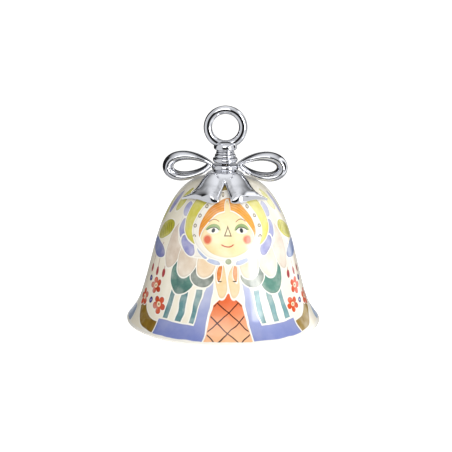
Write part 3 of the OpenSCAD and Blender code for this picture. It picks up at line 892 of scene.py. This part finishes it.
BORE_POINTS = 32
bore_angles = [2 * pi * k / BORE_POINTS for k in range(BORE_POINTS)]
bore = [(BORE_R * cos(a), BORE_R * sin(a)) for a in bore_angles]
flat = list(rim_line) + bore
for inset in (0.1, 0.25, 0.45, 0.75, 1.15, 1.6, 2.1):
    for i in range(rim_count):
        nx, ny = rim_normal(i)
        x, y = rim_line[i][0] - inset * nx, rim_line[i][1] - inset * ny
        if inside_rim(x, y) and from_rim(x, y) > 0.97 * inset and (inset < 0.8 or i % 2 == 0):
            flat.append((x, y))
SPACING, ROW_SPACING = 0.55, 0.866 * 0.55
for row in range(-40, 20):
    for column in range(-36, 37):
        x, y = (column + 0.5 * (row % 2)) * SPACING, row * ROW_SPACING
        if hypot(x, y) > BORE_R + 0.3 and inside_rim(x, y) and from_rim(x, y) > 2.5:
            flat.append((x, y))
sheet = delaunay_2d_cdt(
    [Vector(p) for p in flat],
    [(i, (i + 1) % rim_count) for i in range(rim_count)]
    + [(rim_count + k, rim_count + (k + 1) % BORE_POINTS) for k in range(BORE_POINTS)],
    [], 0, 1e-5,
)
spots = [tuple(p) for p in sheet[0]]
origin_of = {tuple(o)[0]: i for i, o in enumerate(sheet[3]) if o}
leaves = []
for leaf in sheet[2]:
    cx = sum(spots[i][0] for i in leaf) / len(leaf)
    cy = sum(spots[i][1] for i in leaf) / len(leaf)
    if inside_rim(cx, cy) and hypot(cx, cy) > BORE_R * 0.98:
        leaves.append(tuple(leaf))
rim_ids = [origin_of[i] for i in range(rim_count)]
bore_ids = [origin_of[rim_count + k] for k in range(BORE_POINTS)]
held = set(rim_ids + bore_ids)
neighbours = [set() for _ in spots]
for leaf in leaves:
    for a, b in zip(leaf, leaf[1:] + leaf[:1]):
        neighbours[a].add(b)
        neighbours[b].add(a)
thickness = [tail_thickness(x, y, from_rim(x, y)) for x, y in spots]
for _ in range(BUFFING):
    # the casting's folds are smoothed out, as by buffing
    thickness = [
        own if i in held or not near else (own + sum(thickness[j] for j in near) / len(near)) / 2
        for i, (own, near) in enumerate(zip(thickness, neighbours))
    ]
SWEEP_FROM, SWEEP = 4.5, 0.9
for i, (x, y) in enumerate(spots):
    # flat where the knot sits on the hub, then swept up against its side
    swept = min(max((hypot(x, y) - SWEEP_FROM) / SWEEP, 0), 1)
    if hypot(x, y) < KNOT_R:
        thickness[i] = HUB_T + (thickness[i] - HUB_T) * swept
points = [over_dome(x, y, tail_lift(hypot(x, y))) for x, y in spots]
points += [over_dome(x, y, tail_lift(hypot(x, y)) + thick) for (x, y), thick in zip(spots, thickness)]
half = len(spots)
faces = [leaf[::-1] for leaf in leaves] + [tuple(half + i for i in leaf) for leaf in leaves]
rings = [rim_ids]
for step in (1, 2, 3, 4, 5):
    a = radians(-90 + 30 * step)
    ring_ids = []
    for i in range(rim_count):
        nx, ny = rim_normal(i)
        thin = edge_thickness(*rim_line[i])
        out = min(0.36 * thin, 0.5) * cos(a)
        x, y = rim_line[i][0] + out * nx, rim_line[i][1] + out * ny
        r = hypot(*rim_line[i])
        ring_ids.append(len(points))
        points.append(over_dome(x, y, tail_lift(r) + thin / 2 * (1 + sin(a))))
    rings.append(ring_ids)
rings.append([half + i for i in rim_ids])
for low_ring, high_ring in zip(rings, rings[1:]):
    for i in range(rim_count):
        j = (i + 1) % rim_count
        faces.append((low_ring[i], low_ring[j], high_ring[j], high_ring[i]))
for k in range(BORE_POINTS):
    j = (k + 1) % BORE_POINTS
    faces.append((bore_ids[k], half + bore_ids[k], half + bore_ids[j], bore_ids[j]))
tails = from_points("ribbon_tails_cast", points, faces)
smooth(tails, 55)
tails.data.materials.append(chrome_plated_zinc)
finish_piece(tails, "bell", "chrome_bow", "ribbon_tails")


# ---------------------------------------------------------------- clapper wire
# One wire: straight through the ball, bent into a loop and wrapped round itself below the loop.
WIRE_R, LOOP_R = 0.55, 1.9
wire_low, wire_high = height_of("clapper_wire")
loop_z = wire_high - LOOP_R - WIRE_R
route = [(0, 0, wire_low + (loop_z - LOOP_R - wire_low) * k / 30) for k in range(30)]
route += [
    (LOOP_R * cos(radians(a)), 0.18 * sin(radians(a + 90) / 2), loop_z + LOOP_R * sin(radians(a)))
    for a in range(-90, 231, 10)
]
WRAP_R, WRAP_TURNS, WRAP_PITCH, WRAP_STEPS = 1.08, 2.6, 1.16, 24
wrap_top = loop_z - LOOP_R - 0.15
route += [
    (-WRAP_R * cos(2 * pi * t), -WRAP_R * sin(2 * pi * t), wrap_top - WRAP_PITCH * t)
    for t in [k / WRAP_STEPS for k in range(2, int(WRAP_STEPS * WRAP_TURNS))]
]
curve = bpy.data.curves.new("clapper_wire_bent", "CURVE")
curve.dimensions = "3D"
curve.bevel_depth = WIRE_R * MM
curve.bevel_resolution = 5
curve.use_fill_caps = True
spline = curve.splines.new("POLY")
spline.points.add(len(route) - 1)
for point, at in zip(spline.points, route):
    point.co = (*(MM * c for c in at), 1)
wire = bpy.data.objects.new("clapper_wire_bent", curve)
bpy.context.scene.collection.objects.link(wire)
select_only(wire)
bpy.ops.object.convert(target="MESH")
wire = bpy.context.object
smooth(wire, 60)
wire.data.materials.clear()
wire.data.materials.append(nickel_plated_steel)
finish_piece(wire, "clapper", "plated_steel", "clapper_wire")


# ---------------------------------------------------------------- CAD pieces that stay, with their finishes
for node, finish in {
    "crown_gasket": silicone_rubber, "inner_gasket": silicone_rubber,
    "eye_stud": nickel_plated_steel, "steel_washer": nickel_plated_steel, "hex_nut": nickel_plated_steel,
    "jump_ring": nickel_plated_steel, "ball_ferrule": nickel_plated_steel,
    "spring_washer": blackened_spring_steel, "clapper_ball": chrome_plated_ball,
}.items():
    if not cad[node].material_slots:
        cad[node].data.materials.append(finish)
    for holder in cad[node].material_slots:
        holder.material = finish
